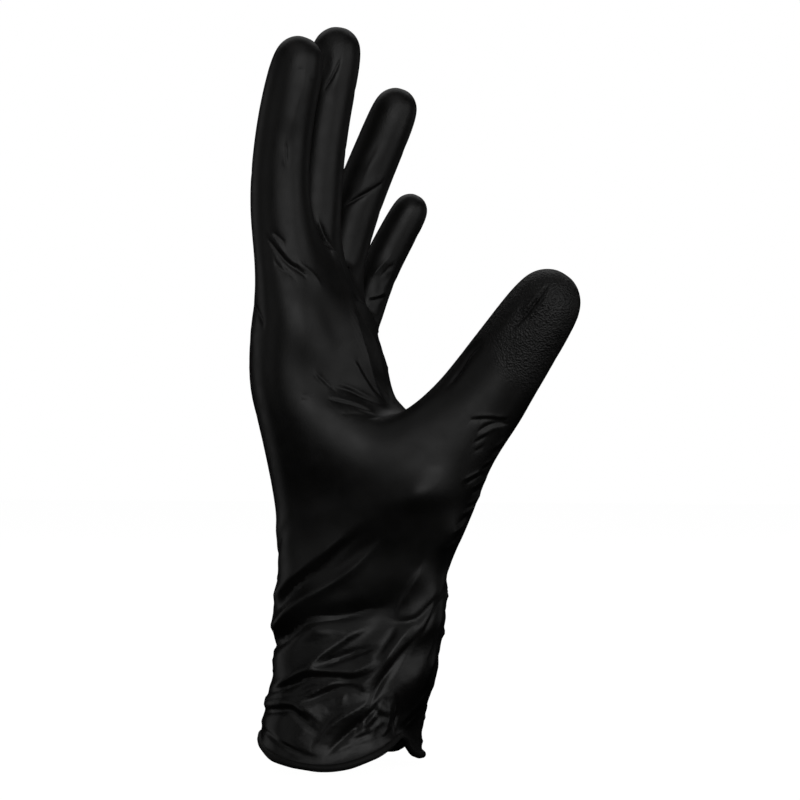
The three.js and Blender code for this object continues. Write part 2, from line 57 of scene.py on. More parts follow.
IRON_STEPS = (0.5, -0.53)  # a step towards the neighbours, and a longer one back
BEAD_RADIUS = 1.2 * MM
BEAD_SIDES = 12
BEAD_INSET = 0.35 * MM  # the bead's middle lies this far inside the skin's edge
BEAD_DROP = 0.7  # and this share of its radius below it
BEAD_UNEVEN = 0.16  # how much its radius wanders, as a share
BEAD_WAVE = 7 * MM  # and over what length
FAR_LIP = 3.4 * MM  # how far the mouth is lifted at the corner beyond the cusp
FAR_LIP_LOW, FAR_LIP_HIGH = 2 * MM, 14 * MM  # the lift fades out between these heights
FINE_BELOW = 71 * MM  # the crumpled wrist and cuff get a mesh twice as fine on the side that the
FINE_BEHIND = 34 * MM  # photograph shows, and the lower cuff alone on the others

# The photograph's view. Its folds are drawn below where it shows them, in its own pixels.
VIEW_AZIMUTH = math.radians(12)
VIEW_DISTANCE = 1.2
VIEW_CENTRE = np.array((0, 0, 0.115))
CENTRE_PIXEL = np.array((341.0, 398.0))  # where the view's centre is seen
PIXEL = 0.3243 * MM
IMAGE = 800  # pixels, the photograph's width and height
FAR_LIP_PIXEL, FAR_LIP_REACH = 408, 9  # across, where the photograph shows the mouth's far corner

TOWARD = np.array((math.sin(VIEW_AZIMUTH), -math.cos(VIEW_AZIMUTH), 0))
SIDEWAYS = np.array((math.cos(VIEW_AZIMUTH), math.sin(VIEW_AZIMUTH), 0))
EYE = VIEW_CENTRE + TOWARD * VIEW_DISTANCE

# The folds
FADED = 3.2  # a fold is over this many reaches away from its line
TAPER = 0.35  # the share of a fold's length over which each of its ends fades,
END_WIDTH = 0.4  # and the share of its reach that is left there
NARROW = 1  # mm, a fold with a reach below this needs a finer mesh
CREASE_REACH = 0.9  # mm, how far to each side of it
MOUTH_SHARE = 0.5  # the share of a fold's height that is left at the mouth
GROW_ROUNDS = 8  # how far what a view shows is grown past its outline,
FADE_ROUNDS = 10  # and faded out, in points of the mesh
SOFTEN_ROUNDS = 2  # how often the photographed side is evened out after its folds are pressed in,
SOFTEN_STEP = 0.3  # and how strongly

# Each row: height in mm (below 0 for a valley), reach in mm to the left and to the right of someone
# who walks along the line, sharpness (1 is a crisp edge, 2 is round), and the line.

HAND_FOLDS = [
    # the index finger's side edge, with its flat side to the right of it
    (0.75, 3.4, 3.4, 1.1, [(300, 62), (307, 74), (303, 92), (297, 104), (291, 127), (286, 146)]),
    (0.3, 2.6, 2.6, 1.2, [(286, 140), (291, 160), (293, 180), (298, 214), (294, 246)]),
    (-0.32, 0.5, 0.7, 1.4, [(287, 140), (286, 150), (287, 166)]),
    (0.22, 0.5, 0.5, 1.2, [(285, 142), (284, 156), (285, 172)]),
    (-0.12, 0.5, 0.5, 1.5, [(296, 69), (302, 69.5), (306, 70)]),
    (-0.16, 0.6, 0.8, 1.5, [(306, 77), (314, 80), (325, 82)]),
    # the middle finger's crease beside the index finger
    (-0.45, 0.45, 0.45, 1.5, [(344, 54), (339, 63), (334, 74), (328, 84), (321, 94)]),
    (0.3, 1.2, 1.2, 1.2, [(344, 62), (339, 72), (336, 83), (329, 96)]),
    (-0.4, 1.6, 1.6, 1.6, [(330, 50), (326, 62), (324, 80)]),
    # the ring finger's root crease and its bent joint
    (-0.65, 0.55, 0.6, 1.5, [(336, 212), (346, 205), (358, 198), (373, 190), (390, 177)]),
    (0.35, 1.4, 1.4, 1.3, [(352, 194), (364, 189), (378, 182), (386, 174)]),
    (-0.3, 1.2, 1.2, 1.6, [(366, 166), (376, 150), (386, 134)]),
    (0.3, 1.0, 1.0, 1.3, [(361, 190), (368, 170), (378, 150), (386, 130)]),
    # the little finger's
    (0.4, 0.9, 0.9, 1.2, [(393, 254), (384, 263), (377, 270), (370, 281)]),
    (-0.4, 0.8, 0.8, 1.4, [(396, 262), (386, 271), (378, 280)]),
    (-0.35, 0.7, 0.7, 1.5, [(366, 301), (376, 300), (388, 296)]),
    (0.35, 0.9, 0.9, 1.3, [(366, 297), (376, 297), (389, 290)]),
    (-0.3, 1.0, 1.0, 1.4, [(380, 285), (386, 280), (392, 272)]),
    # creases at the index finger's root
    (-0.75, 0.65, 0.7, 1.25, [(257, 227), (268, 239), (277, 251), (287, 263), (298, 270),
                              (314, 284)]),
    (0.3, 0.8, 0.8, 1.3, [(262, 225), (273, 237), (282, 250), (292, 261), (303, 268), (312, 277)]),
    (-0.4, 0.6, 0.6, 1.3, [(270, 231), (279, 237), (288, 247)]),
    (-0.42, 0.6, 0.6, 1.3, [(272, 258), (279, 267), (289, 277)]),
    (-0.3, 0.5, 0.5, 1.3, [(281, 265), (289, 273), (297, 281)]),
    (0.4, 0.7, 0.9, 1.2, [(296, 258), (304, 267), (313, 275), (322, 289)]),
    (-0.3, 0.6, 0.6, 1.3, [(293, 262), (300, 270), (306, 277)]),
    # the long edge that runs down to the thumb's web, and the dark hollow beyond it
    (2.2, 0.8, 4.8, 1.25, [(308, 190), (316, 212), (325, 241), (334, 270), (343, 299),
                           (351, 328), (359, 354), (370, 380), (383, 400), (397, 414)]),
    (1.5, 0.5, 0.8, 1.3, [(316, 214), (324, 239), (333, 268), (342, 297), (350, 326),
                          (358, 352), (369, 379), (382, 400), (397, 414)]),
    (-1.2, 1.3, 1.0, 1.7, [(322, 215), (331, 248), (340, 275), (348, 300), (356, 326),
                           (365, 352), (376, 378), (388, 399)]),
    (2.1, 0.6, 0.9, 1.3, [(338, 264), (347, 290), (354, 309), (361, 324), (369, 339), (375, 354),
                           (382, 376), (392, 403)]),
    (-1.1, 1.1, 0.9, 1.7, [(350, 294), (357, 310), (364, 324), (373, 334), (380, 342)]),
    (1.6, 0.7, 0.9, 1.3, [(352, 294), (364, 308), (371, 321), (376, 331), (382, 342)]),
    (-0.6, 0.8, 0.8, 1.3, [(375, 345), (381, 366), (387, 386), (393, 407)]),
    (0.45, 0.8, 0.8, 1.2, [(378, 342), (386, 366), (390, 388), (396, 410)]),
    (0.55, 0.8, 1.0, 1.1, [(346, 350), (357, 371), (367, 386), (378, 401), (394, 412)]),
    (-0.45, 0.7, 0.7, 1.3, [(352, 356), (362, 374), (372, 389), (384, 403)]),
    # creases that run out from the web
    (-0.62, 0.55, 0.6, 1.25, [(328, 383), (337, 388), (348, 390), (359, 396), (371, 402),
                              (386, 408)]),
    (0.3, 0.6, 0.6, 1.2, [(330, 379), (341, 384), (352, 388), (364, 395), (376, 401)]),
    (-0.62, 0.5, 0.55, 1.25, [(320, 398), (329, 400), (341, 403), (353, 406), (365, 411),
                              (380, 416)]),
    (0.3, 0.5, 0.5, 1.2, [(322, 395), (335, 398), (348, 402), (360, 406), (372, 412)]),
    (-0.32, 0.55, 0.55, 1.3, [(312, 369), (322, 379), (331, 387), (339, 396)]),
    (0.25, 0.6, 0.6, 1.3, [(309, 371), (319, 381), (328, 389)]),
    (-0.3, 0.45, 0.45, 1.3, [(330, 415), (343, 415), (357, 415), (372, 419)]),
    (-0.2, 0.45, 0.45, 1.3, [(300, 395.5), (308, 395), (316, 395)]),
    (-0.18, 0.45, 0.45, 1.3, [(299, 401), (306, 400), (312, 401)]),
    (-0.22, 0.5, 0.5, 1.4, [(358, 421), (371, 419), (388, 417)]),
    # the tuck at the knuckle's outline
    (-0.9, 0.9, 0.9, 1.3, [(247, 296), (254, 306), (259, 317), (266, 330)]),
    (0.4, 1.2, 1.2, 1.5, [(246, 322), (252, 334), (256, 348)]),
    # the thumb's crease and its branches
    (-0.5, 0.4, 0.5, 1.4, [(460, 420.5), (475, 419.5), (489, 418.5), (500, 420.5), (518, 420)]),
    (0.25, 0.6, 0.6, 1.2, [(467, 416.5), (482, 415.5), (497, 416.5), (512, 417)]),
    (-0.6, 0.6, 0.6, 1.25, [(472, 436), (482, 429), (492, 423.5), (503, 423), (516, 426)]),
    (-0.4, 0.6, 0.6, 1.3, [(470, 445), (481, 439.5), (490, 433)]),
    (0.3, 0.7, 0.7, 1.3, [(474, 440), (484, 434), (494, 427.5), (508, 426)]),
    (-0.3, 0.6, 0.6, 1.3, [(472, 453), (480, 449), (487, 444)]),
    (0.4, 0.5, 0.5, 1.1, [(459, 482), (467, 477.5), (475, 473.5), (484, 468)]),
    (-0.4, 0.5, 0.5, 1.2, [(462, 486), (471, 481), (480, 476), (488, 470)]),
    (0.35, 0.45, 0.45, 1.1, [(468, 490), (475, 486), (482, 481), (489, 474)]),
    (-0.35, 0.5, 0.5, 1.2, [(470, 495), (477, 491), (484, 486)]),
    (0.4, 0.5, 0.6, 1.1, [(480, 467), (488, 462), (495, 456), (501, 449)]),
    (-0.4, 0.5, 0.6, 1.2, [(480, 471), (489, 466), (497, 460)]),
    (0.4, 0.5, 0.5, 1.1, [(463, 505), (471, 502), (478, 497), (484, 491)]),
    (-0.4, 0.5, 0.5, 1.2, [(464, 510), (472, 506), (480, 501)]),
    (0.4, 0.5, 0.5, 1.1, [(458, 515), (466, 511), (475, 505)]),
    (-0.5, 0.5, 0.5, 1.2, [(453, 524), (461, 520), (470, 513)]),
    (0.3, 0.5, 0.5, 1.2, [(447, 531), (455, 528), (464, 521)]),
    (-0.3, 0.5, 0.5, 1.3, [(447, 540), (453, 537), (460, 532)]),
    (0.3, 0.6, 0.6, 1.2, [(440, 549), (447, 545), (455, 540)]),
    (0.35, 0.5, 0.5, 1.2, [(492, 450), (499, 444), (507, 436)]),
    (-0.3, 0.5, 0.5, 1.2, [(490, 456), (498, 450), (506, 442)]),
    # the fold along the thumb's web side and the nail's edge
    (-0.9, 1.0, 0.8, 1.5, [(444, 391), (455, 377), (464, 364), (471, 350), (489, 343)]),
    (0.35, 1.4, 1.4, 1.2, [(450, 394), (461, 379), (468, 364), (476, 352)]),
    (0.4, 1.6, 1.6, 1.2, [(489, 345), (508, 324), (516, 312), (520, 296)]),
    (-0.75, 0.45, 0.45, 1.6, [(553, 278), (547, 286), (541, 295), (532, 307), (525, 316),
                              (514, 328), (504, 338)]),
    (0.7, 0.8, 0.8, 1.2, [(542, 287), (535, 297), (527, 308), (519, 317)]),
    (0.7, 0.8, 0.9, 1.2, [(550, 292), (543, 303), (534, 313), (525, 322)]),
]
WRIST_FOLDS = [
    # the two long folds from the heel of the hand down to the back
    (1.2, 0.9, 3.2, 1.1, [(374, 515), (363, 522), (347, 534), (334, 545), (321, 555), (305, 568),
                          (291, 579), (281, 590), (270, 602), (255, 618), (238, 636)]),
    (-1.4, 1.9, 1.5, 2.0, [(374, 522), (354, 538), (339, 551), (325, 567), (307, 578), (292, 589),
                           (281, 602), (266, 622), (246, 644)]),
    (2.0, 3.0, 1.6, 1.6, [(390, 532), (371, 550), (352, 569), (331, 583), (309, 595), (291, 607),
                          (279, 620), (264, 638), (246, 660)]),
    (-2.4, 2.0, 3.2, 2.0, [(396, 604), (366, 612), (338, 616), (313, 619), (296, 628), (276, 644),
                           (250, 668)]),
    (-0.6, 0.8, 0.9, 1.5, [(296, 520), (287, 526), (281, 534), (278, 545), (277, 562)]),
    (0.6, 1.6, 1.6, 1.4, [(288, 516), (278, 527), (272, 541), (271, 556)]),
    # the flap below the thumb's muscle
    (0.9, 3.4, 0.8, 1.2, [(424, 556), (422, 569), (414, 582), (405, 597), (398, 609), (396, 619)]),
    (0.6, 3.0, 0.8, 1.2, [(386, 616), (398, 617), (412, 616), (421, 610), (434, 596), (446, 580),
                          (452, 566)]),
    (-1.0, 0.9, 1.4, 1.3, [(380, 620), (395, 622), (413, 622), (422, 616), (435, 603), (447, 588)]),
    (0.7, 1.0, 0.9, 1.1, [(446, 582), (437, 600), (427, 620), (418, 632), (408, 643)]),
    (-0.8, 0.8, 0.8, 1.3, [(448, 592), (439, 607), (430, 624), (421, 638)]),
    (0.4, 0.8, 0.8, 1.2, [(447, 604), (441, 620), (434, 640), (424, 664)]),
    (1.0, 1.7, 1.5, 1.2, [(420, 617), (407, 632), (395, 647), (386, 661), (378, 674)]),
    (-1.2, 1.2, 1.1, 1.8, [(420, 634), (408, 648), (393, 667), (380, 683), (371, 702), (364, 716)]),
    (-0.8, 1.3, 1.3, 1.4, [(400, 622), (389, 637), (380, 650), (373, 664)]),
    (1.5, 0.8, 3.0, 1.2, [(444, 628), (438, 655), (432, 680), (425, 700), (415, 718), (404, 734)]),
]
CUFF_FOLDS = [
    # bright slopes that end in a crisp edge, each with a dark one below it
    (0.5, 1.6, 1.0, 1.2, [(288, 630), (303, 627), (318, 633), (337, 633), (354, 631), (366, 628)]),
    (-0.45, 0.6, 0.6, 1.3, [(289, 645), (301, 644), (315, 643), (334, 639)]),
    (1.5, 1.0, 3.4, 1.1, [(378, 622), (366, 629), (352, 635), (335, 646), (320, 656), (304, 671)]),
    (-1.4, 1.3, 1.4, 1.8, [(386, 640), (372, 648), (357, 652), (342, 657), (325, 664), (306, 672)]),
    (0.45, 0.8, 0.8, 1.2, [(348, 661), (358, 656), (368, 652), (381, 650)]),
    (1.3, 0.8, 2.4, 1.1, [(383, 652), (374, 662), (365, 668), (352, 674), (338, 673), (320, 671),
                          (306, 670), (292, 677), (276, 686), (250, 700)]),
    (-1.1, 0.8, 0.9, 1.8, [(386, 661), (372, 674), (356, 680), (341, 678), (322, 677), (308, 679),
                           (295, 684), (276, 692), (250, 704)]),
    (0.75, 0.7, 0.7, 1.1, [(293, 700), (305, 696), (317, 690), (332, 683), (347, 676)]),
    (-0.5, 0.6, 0.6, 1.3, [(293, 696), (306, 690), (320, 685), (336, 679)]),
    (-1.1, 0.9, 1.0, 1.8, [(297, 706), (312, 699), (326, 693), (340, 688), (353, 686), (363, 694),
                           (376, 695)]),
    (0.7, 0.9, 1.4, 1.2, [(240, 708), (260, 700), (273, 695), (285, 691), (297, 691)]),
    (-0.45, 0.6, 0.6, 1.3, [(268, 700), (276, 697), (285, 697)]),
    (1.0, 2.6, 0.8, 1.1, [(238, 708), (262, 705), (278, 704), (292, 703), (302, 710), (314, 717),
                          (322, 724), (330, 725)]),
    (-0.9, 0.9, 0.9, 1.8, [(240, 716), (262, 712), (280, 710), (291, 710), (300, 718), (310, 726),
                           (318, 733), (330, 730)]),
    (1.15, 0.9, 2.2, 1.1, [(312, 748), (322, 737), (334, 722), (350, 713), (366, 704), (378, 692)]),
    (-1.2, 1.2, 1.2, 1.8, [(322, 760), (336, 744), (350, 730), (362, 722), (376, 708), (384, 694)]),
    (0.4, 0.7, 0.7, 1.2, [(336, 704), (343, 700), (345, 693)]),
    (-0.3, 0.6, 0.6, 1.3, [(322, 709), (334, 712), (346, 712)]),
    (-0.8, 0.5, 0.6, 1.4, [(393, 690), (398, 702), (398, 714), (395, 724), (395, 736)]),
    (0.5, 0.8, 0.8, 1.2, [(386, 700), (390, 712), (388, 724), (384, 734)]),
    (0.6, 0.7, 0.9, 1.1, [(430, 680), (424, 690), (413, 707), (402, 722), (396, 732)]),
    (-0.5, 0.8, 0.8, 1.3, [(424, 700), (414, 716), (404, 730)]),
    (-0.8, 0.7, 0.7, 1.8, [(248, 716), (265, 731), (277, 742), (292, 750), (310, 757), (328, 758)]),
    (0.5, 1.0, 1.0, 1.3, [(330, 752), (340, 748), (350, 746), (356, 738)]),
    # fine crumple beside the bead's cusp
    (0.42, 0.45, 0.45, 1.1, [(350, 744), (360, 742), (372, 737)]),
    (0.42, 0.45, 0.45, 1.1, [(348, 738), (360, 735), (370, 729)]),
    (-0.4, 0.45, 0.45, 1.2, [(352, 741), (364, 738), (376, 732)]),
    (0.42, 0.45, 0.45, 1.1, [(364, 728), (372, 719), (378, 712)]),
    (-0.42, 0.5, 0.5, 1.2, [(368, 731), (377, 721), (382, 712)]),
    (0.42, 0.45, 0.45, 1.1, [(374, 732), (382, 722), (388, 716)]),
    (0.4, 0.45, 0.45, 1.1, [(376, 700), (380, 709), (387, 713), (392, 710)]),
    (-0.4, 0.45, 0.45, 1.2, [(372, 706), (377, 713), (384, 718), (392, 718)]),
    (0.4, 0.45, 0.45, 1.1, [(360, 712), (364, 720), (362, 730)]),
    (-0.4, 0.5, 0.5, 1.2, [(356, 716), (359, 724), (355, 734)]),
    (0.35, 0.45, 0.45, 1.1, [(380, 738), (387, 730), (393, 724)]),
]
# Soft swells and hollows: height in mm, the middle, and the reach along and across a direction in
# degrees, clockwise from the photograph's right.
SWELLS = [
    (2.6, (421, 491), 25, 17, -22),
    (2.0, (402, 514), 40, 36, -20),
    (-3.2, (374, 617), 50, 26, -18),
    (-0.7, (318, 492), 26, 18, 0),
    (1.0, (350, 412), 30, 17, 8),
    (1.0, (306, 338), 46, 20, 80),
    (-0.6, (336, 330), 34, 10, 68),
    (1.5, (449, 533), 20, 9, -60),
    (-1.8, (356, 739), 24, 16, -35),
]

# The sides that the photograph doesn't show, in millimetres of a straight view: across and up.
PALM_FOLDS = [
    # the thumb's and the palm's lines, the fingers' joints, and gathers at the wrist
    (-0.7, 1.4, 1.4, 1.3, [(-8, 78), (-16, 92), (-20, 104), (-17, 118), (-24, 128)]),
    (-0.6, 1.3, 1.3, 1.3, [(-22, 128), (-8, 127), (8, 120), (24, 110)]),
    (-0.6, 1.3, 1.3, 1.3, [(36, 124), (22, 131), (6, 137), (-8, 146)]),
    (0.5, 1.8, 1.8, 1.5, [(-6, 84), (-12, 98), (-13, 110), (-10, 120)]),
    (-0.5, 0.8, 0.8, 1.3, [(-39, 187), (-32, 188.5), (-24, 187)]),
    (-0.4, 0.8, 0.8, 1.3, [(-39, 191), (-32, 192), (-25, 191)]),
    (-0.45, 0.8, 0.8, 1.3, [(-40, 209), (-33, 210), (-26, 209)]),
    (-0.5, 0.8, 0.8, 1.3, [(-17, 190), (-10, 191.5), (-2, 190)]),
    (-0.4, 0.8, 0.8, 1.3, [(-16, 194), (-10, 195), (-3, 194)]),
    (-0.45, 0.8, 0.8, 1.3, [(-17, 213), (-10, 214), (-2, 213)]),
    (-0.5, 0.8, 0.8, 1.3, [(4, 175), (11, 176.5), (19, 175)]),
    (-0.45, 0.8, 0.8, 1.3, [(5, 196), (12, 197), (20, 196)]),
    (-0.5, 0.8, 0.8, 1.3, [(25, 152), (32, 153.5), (39, 152)]),
    (-0.4, 0.8, 0.8, 1.3, [(26, 168), (33, 169), (40, 168)]),
    (0.6, 1.3, 1.3, 1.2, [(-34, 150), (-26, 143), (-16, 140)]),
    (-0.6, 1.2, 1.2, 1.3, [(-36, 145), (-26, 138), (-16, 135)]),
    (0.5, 1.2, 1.2, 1.2, [(24, 128), (32, 122), (38, 118)]),
    (-1.0, 1.8, 1.8, 1.3, [(-24, 62), (-10, 58), (6, 60), (22, 66)]),
    (0.9, 1.6, 1.6, 1.2, [(-22, 54), (-6, 51), (10, 53), (24, 59)]),
    (-0.9, 1.6, 1.6, 1.3, [(-20, 48), (0, 44), (18, 47)]),
    (0.9, 1.6, 1.2, 1.2, [(-26, 38), (-8, 35), (12, 38), (28, 42)]),
    (-0.9, 1.4, 1.6, 1.3, [(-24, 31), (-6, 29), (14, 32), (30, 35)]),
    (0.8, 1.2, 1.6, 1.2, [(-30, 22), (-12, 25), (6, 21), (26, 24)]),
    (-0.8, 1.4, 1.4, 1.3, [(-26, 15), (-8, 18), (10, 14), (28, 16)]),
]
BACK_FOLDS = [
    (-0.4, 1.0, 1.0, 1.4, [(22, 150), (24, 140), (28, 130)]),
    (0.5, 2.4, 2.4, 1.7, [(30, 152), (26, 128), (18, 100)]),
    (0.5, 2.4, 2.4, 1.7, [(9, 156), (8, 130), (6, 104)]),
    (0.45, 2.4, 2.4, 1.7, [(-12, 150), (-10, 126), (-6, 100)]),
    (0.4, 2.4, 2.4, 1.7, [(-32, 136), (-26, 114), (-16, 94)]),
    (-0.3, 0.8, 0.8, 1.4, [(38, 186), (31, 187), (24, 186)]),
    (-0.3, 0.8, 0.8, 1.4, [(17, 190), (10, 191), (3, 190)]),
    (-0.3, 0.8, 0.8, 1.4, [(-4, 176), (-11, 177), (-18, 176)]),
    (-0.3, 0.8, 0.8, 1.4, [(-25, 154), (-32, 155), (-38, 154)]),
    (-0.9, 1.6, 1.6, 1.3, [(26, 68), (10, 62), (-8, 60), (-24, 64)]),
    (0.8, 1.5, 1.5, 1.2, [(24, 60), (8, 55), (-10, 54), (-26, 57)]),
    (-0.9, 1.6, 1.6, 1.3, [(22, 52), (4, 48), (-12, 49), (-24, 52)]),
    (0.9, 1.4, 1.4, 1.2, [(30, 44), (12, 42), (-4, 39), (-20, 42)]),
    (-0.9, 1.4, 1.4, 1.3, [(26, 36), (8, 35), (-12, 31), (-28, 33)]),
    (0.8, 1.4, 1.4, 1.2, [(28, 27), (10, 28), (-8, 24), (-28, 26)]),
    (-0.8, 1.4, 1.4, 1.3, [(24, 19), (6, 21), (-14, 17), (-26, 18)]),
]
LITTLE_FOLDS = [
    (-0.5, 1.0, 1.0, 1.4, [(12, 128), (4, 122), (-4, 112)]),
    (0.5, 1.8, 1.8, 1.5, [(10, 112), (2, 96), (-4, 84)]),
    (-0.8, 1.6, 1.6, 1.3, [(-24, 70), (-8, 62), (10, 60), (22, 66)]),
    (0.8, 1.5, 1.5, 1.2, [(-26, 61), (-8, 53), (8, 52), (22, 57)]),
    (-0.9, 1.6, 1.6, 1.3, [(-22, 50), (-4, 44), (14, 47)]),
    (0.9, 1.4, 1.4, 1.2, [(-20, 40), (-2, 36), (18, 39)]),
    (-0.9, 1.4, 1.4, 1.3, [(-22, 31), (0, 28), (20, 32)]),
    (0.8, 1.4, 1.4, 1.2, [(-20, 22), (2, 24), (20, 21)]),
    (-0.7, 1.4, 1.4, 1.3, [(-22, 14), (-2, 16), (18, 13)]),
]
STRAIGHT_VIEWS = [  # the way out of the palm, the back and the little side, and the way across
    ((1, 0, 0), (0, 1, 0), PALM_FOLDS),
    ((-1, 0, 0), (0, -1, 0), BACK_FOLDS),
    ((0, 1, 0), (-1, 0, 0), LITTLE_FOLDS),
]

# Where the film is pebbled to grip: the thumb's end, in the photograph's pixels, and faintly the
# fingertips, in mm.
THUMB_ROOT = np.array((400, 430))
THUMB_WAY = np.array((0.75, -0.66))
THUMB_GRIP_FROM, THUMB_GRIP_FULL = 104, 134  # along that way
THUMB_LEFT, THUMB_LEFT_FULL = 440, 456  # across the photograph, which keeps it off the fingers
FINGERTIPS = ((-17, -33.5, 226), (0, -9.5, 231), (14, 12, 212), (22, 34, 180))
TIP_GRIP = 0.2
TIP_GRIP_REACH, TIP_GRIP_FULL = 20, 6

# The studio's soft boxes: turn and height seen from the camera in degrees, distance and size in
# metres, and radiance.
SOFT_BOXES = [
    ("key", 10, 13, 1.6, (1.5, 1.1), 1.02),
    ("above", -8, 58, 2.2, (3.0, 1.7), 0.24),
    ("left", -60, 4, 1.8, (1.2, 1.5), 0.22),
    ("far_left", -112, 0, 1.8, (1.1, 1.5), 0.28),
    ("right", 62, 4, 1.8, (1.2, 1.5), 0.6),
    ("far_right", 126, 0, 1.8, (0.8, 0.9), 0.12),
    ("behind", 180, 50, 1.8, (2.6, 1.2), 0.5),
]
FLOOR_LEVEL = -4.5 * MM
FLOOR_REACH = 3  # metres each way
SENSOR = 36  # mm

# The film's mesh


def solid_copy():
    """The CAD solid's mesh with its pairs of triangles joined to quads."""
    bm = bmesh.new()
    bm.from_mesh(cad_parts[NODE].data)
    bmesh.ops.remove_doubles(bm, verts=bm.verts, dist=MERGE)
    bmesh.ops.join_triangles(
        bm,
        faces=bm.faces,
        angle_face_threshold=JOIN_FACE_ANGLE,
        angle_shape_threshold=JOIN_SHAPE_ANGLE,
        topology_influence=2.0,
    )
    return bm


def outer_skin():
    """The film's outside, from the middle fingertip down to where the bead begins."""
    bm = solid_copy()
    top = max(bm.faces, key=lambda face: face.calc_center_median().z)
    found = {top}
    front = [top]
    while front:
        face = front.pop()
        for edge in face.edges:
            for near in edge.link_faces:
                if near not in found and near.normal.angle(face.normal) < RIM_ANGLE:
                    found.add(near)
                    front.append(near)
    rest = [face for face in bm.faces if face not in found]
    bmesh.ops.delete(bm, geom=rest, context="FACES")
    return bm


def to_object(bm, name):
    """Links a new object with this mesh, and frees the mesh's working copy."""
    mesh = bpy.data.meshes.new(name)
    bm.to_mesh(mesh)
    bm.free()
    piece = bpy.data.objects.new(name, mesh)
    bpy.context.scene.collection.objects.link(piece)
    return piece


def smoothed(piece, levels):
    """Applies Catmull-Clark subdivision to an object's mesh."""
    modifier = piece.modifiers.new("smooth", "SUBSURF")
    modifier.levels = levels
    depsgraph = bpy.context.evaluated_depsgraph_get()
    mesh = bpy.data.meshes.new_from_object(piece.evaluated_get(depsgraph))
    piece.modifiers.clear()
    piece.data = mesh


def read(data, field, width=3):
    """A field of a mesh's points or edges as an array with a row for each."""
    values = np.empty(len(data) * width)
    data.foreach_get(field, values)
    return values.reshape(-1, width)


class Film:
    """A skin's points, outward directions and neighbours as arrays."""

    def __init__(self, piece):
        self.piece = piece
        mesh = piece.data
        self.points = read(mesh.vertices, "co")
        self.edges = read(mesh.edges, "vertices", 2).astype(int)
        uses = np.zeros(len(mesh.edges), int)
        loops = np.empty(len(mesh.loops), int)
        mesh.loops.foreach_get("edge_index", loops)
        np.add.at(uses, loops, 1)
        self.border = self.edges[uses == 1]
        self.normals = read(mesh.vertex_normals, "vector")

    def spread(self, values):
        """Each point's mean over its neighbours; the mouth's points use the mouth's own."""
        total = np.zeros_like(values)
        count = np.zeros(len(values))
        on_border = np.zeros(len(values), bool)
        on_border[self.border] = True
        inner = self.edges[~(on_border[self.edges[:, 0]] & on_border[self.edges[:, 1]])]
        for pairs, rim in ((inner, False), (self.border, True)):
            for a, b in ((0, 1), (1, 0)):
                use = pairs[on_border[pairs[:, a]] == rim]
                np.add.at(total, use[:, a], values[use[:, b]])
                np.add.at(count, use[:, a], 1)
        count = np.maximum(count, 1)
        return total / (count[:, None] if values.ndim > 1 else count)

    def ironed(self, rounds):
        """Smooths the points without drawing them in."""
        for _ in range(rounds):
            for step in IRON_STEPS:
                self.points += step * (self.spread(self.points) - self.points)
        self.write()

    def write(self):
        """Moves the mesh's points to this film's, and reads its directions again."""
        mesh = self.piece.data
        mesh.vertices.foreach_set("co", self.points.ravel())
        mesh.update()
        self.normals = read(mesh.vertex_normals, "vector")


def refined(piece, wanted):
    """Cuts each quad that a rule picks in four; the rule reads the middles and the directions."""
    bm = bmesh.new()
    bm.from_mesh(piece.data)
    middles = np.array([face.calc_center_median() for face in bm.faces])
    facing = np.array([face.normal for face in bm.faces])
    picked = [face for face, pick in zip(bm.faces, wanted(middles, facing)) if pick]
    edges = list({edge for face in picked for edge in face.edges})
    bmesh.ops.subdivide_edges(bm, edges=edges, cuts=1, use_grid_fill=True)
    bm.to_mesh(piece.data)
    bm.free()


def creased(middles, facing):
    """Where the photograph shows narrow folds on the hand."""
    narrow = [(1, CREASE_REACH, CREASE_REACH, 2, line)
              for _, left, right, _, line in HAND_FOLDS if min(left, right) < NARROW]
    share = press(in_photo(middles), MM / PIXEL, narrow)
    return (share > 0.3) & (facing @ TOWARD > 0.1)


def gathered(middles, facing):
    """The crumpled cuff and wrist, and the narrow folds."""
    front = facing @ TOWARD > -0.2
    low = middles[:, 2] < np.where(front, FINE_BELOW, FINE_BEHIND)
    return low | creased(middles, facing)


# Pressing the folds in


def smoothstep(low, high, value):
    """Rises smoothly from 0 at low to 1 at high; high may be the smaller one."""
    share = np.clip((value - low) / (high - low), 0, 1)
    return share * share * (3 - 2 * share)


def rounded(points):
    """A drawn line with its corners cut twice."""
    line = np.array(points, float)
    for _ in range(2):
        cut = [line[0]]
        for a, b in zip(line, line[1:]):
            cut += [a * 0.75 + b * 0.25, a * 0.25 + b * 0.75]
        line = np.array([*cut, line[-1]])
    return line


